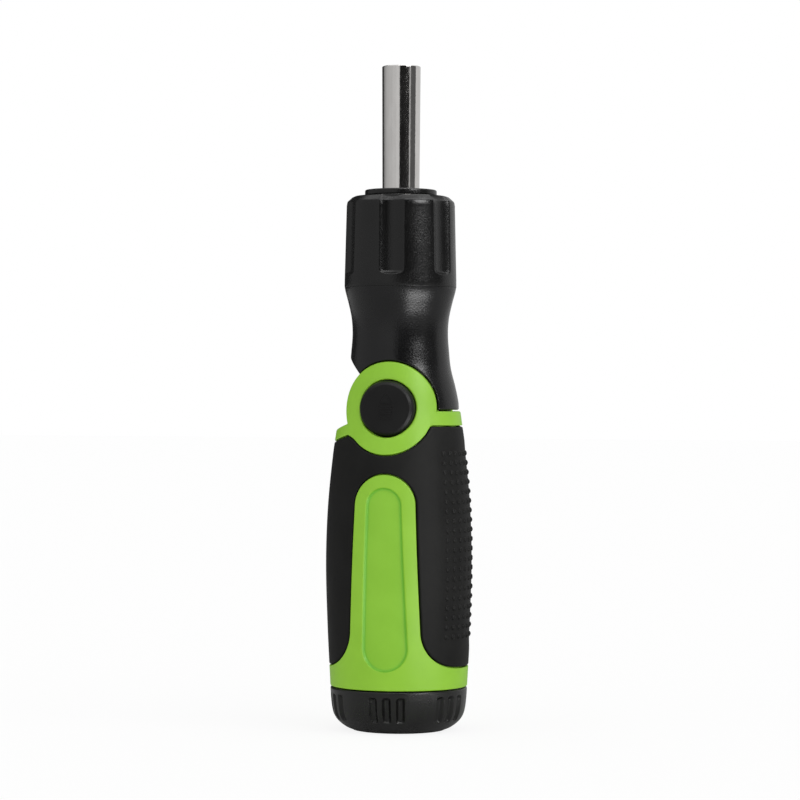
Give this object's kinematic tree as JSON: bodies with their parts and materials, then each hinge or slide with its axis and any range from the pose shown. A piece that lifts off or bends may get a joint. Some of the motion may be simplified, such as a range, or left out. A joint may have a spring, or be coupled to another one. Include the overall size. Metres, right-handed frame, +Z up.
{
  "type": "multi-bit screwdriver",
  "caption": "Folding pistol-grip ratchet screwdriver with a hex bit holder, a turning selector collar, a push-button lock and a bit tray in the handle.",
  "frame": {"origin": "centre of the end cap's flat foot", "axes": "+Z up the handle to the bit holder, the lock button faces -Y, the head folds towards -X"},
  "size_m": [0.0396, 0.038, 0.179],
  "materials": {
    "green_plastic": "satin moulded",
    "black_rubber": "matt soft overmould",
    "black_plastic": "satin moulded",
    "chrome": "polished",
    "steel": "plain",
    "bronze": "sintered"
  },
  "bodies": {
    "handle": {"handle_shell_front": "green_plastic", "handle_shell_back": "green_plastic", "grip_front": "black_rubber", "grip_back": "black_rubber", "shell_screw_1": "steel", "shell_screw_2": "steel", "shell_screw_3": "steel", "shell_screw_4": "steel", "pivot_cover_back": "black_plastic"},
    "button": {"pivot_button": "black_plastic", "lock_wheel": "steel", "lock_screw": "steel", "button_spring": "steel"},
    "head": {"neck_housing": "black_plastic", "nose_ring": "black_plastic", "nose_bush": "bronze", "shaft_bush": "bronze", "pawl_pin_left": "steel", "pawl_pin_right": "steel", "pawl_spring_ring": "steel", "detent_ball": "steel", "detent_spring": "steel"},
    "selector": {"selector_collar": "black_plastic"},
    "shaft": {"bit_holder": "chrome", "ratchet_gear": "steel", "gear_circlip": "steel", "socket_magnet": "steel", "bit_retaining_ring": "steel"},
    "left_pawl": {"pawl_left": "steel"},
    "right_pawl": {"pawl_right": "steel"},
    "cartridge": {"bit_tray": "black_plastic", "bit_1": "steel", "bit_2": "steel", "bit_3": "steel", "bit_4": "steel", "bit_5": "steel", "bit_6": "steel"},
    "cap": {"end_cap": "black_plastic", "cap_seal": "black_rubber", "tray_clip": "steel"}
  },
  "joints": [
    {"name": "button_press", "type": "slide", "parent": "handle", "child": "button", "axis": [0, 1, 0], "range_m": [0, 0.0025], "stiffness_N_per_m": 2500, "springref_m": -0.002, "deforming": ["button_spring"]},
    {"name": "head_fold", "type": "hinge", "parent": "handle", "child": "head", "pos_m": [0, 0, 0.0866], "axis": [0, -1, 0], "range_deg": [0, 64]},
    {"name": "selector_turn", "type": "hinge", "parent": "head", "child": "selector", "pos_m": [0, 0, 0.1193], "axis": [0, 0, 1], "range_deg": [-20, 20]},
    {"name": "shaft_spin", "type": "hinge", "parent": "head", "child": "shaft", "pos_m": [0, 0, 0.179], "axis": [0, 0, 1], "continuous": true},
    {"name": "pawl_left_rock", "type": "hinge", "parent": "head", "child": "left_pawl", "pos_m": [-0.0094, 0.0021, 0.1243], "axis": [0, 0, -1], "range_deg": [0, 5], "stiffness_Nm_per_rad": 0.002, "springref_deg": -17.19},
    {"name": "pawl_right_rock", "type": "hinge", "parent": "head", "child": "right_pawl", "pos_m": [0.0094, 0.0021, 0.1243], "axis": [0, 0, 1], "range_deg": [0, 5], "stiffness_Nm_per_rad": 0.002, "springref_deg": -17.19},
    {"name": "cartridge_pull", "type": "slide", "parent": "handle", "child": "cartridge", "axis": [0, 0, -1], "range_m": [0, 0.035]},
    {"name": "cap_turn", "type": "hinge", "parent": "cartridge", "child": "cap", "pos_m": [0, 0, 0], "axis": [0, 0, 1], "range_deg": [-90, 0]}
  ]
}
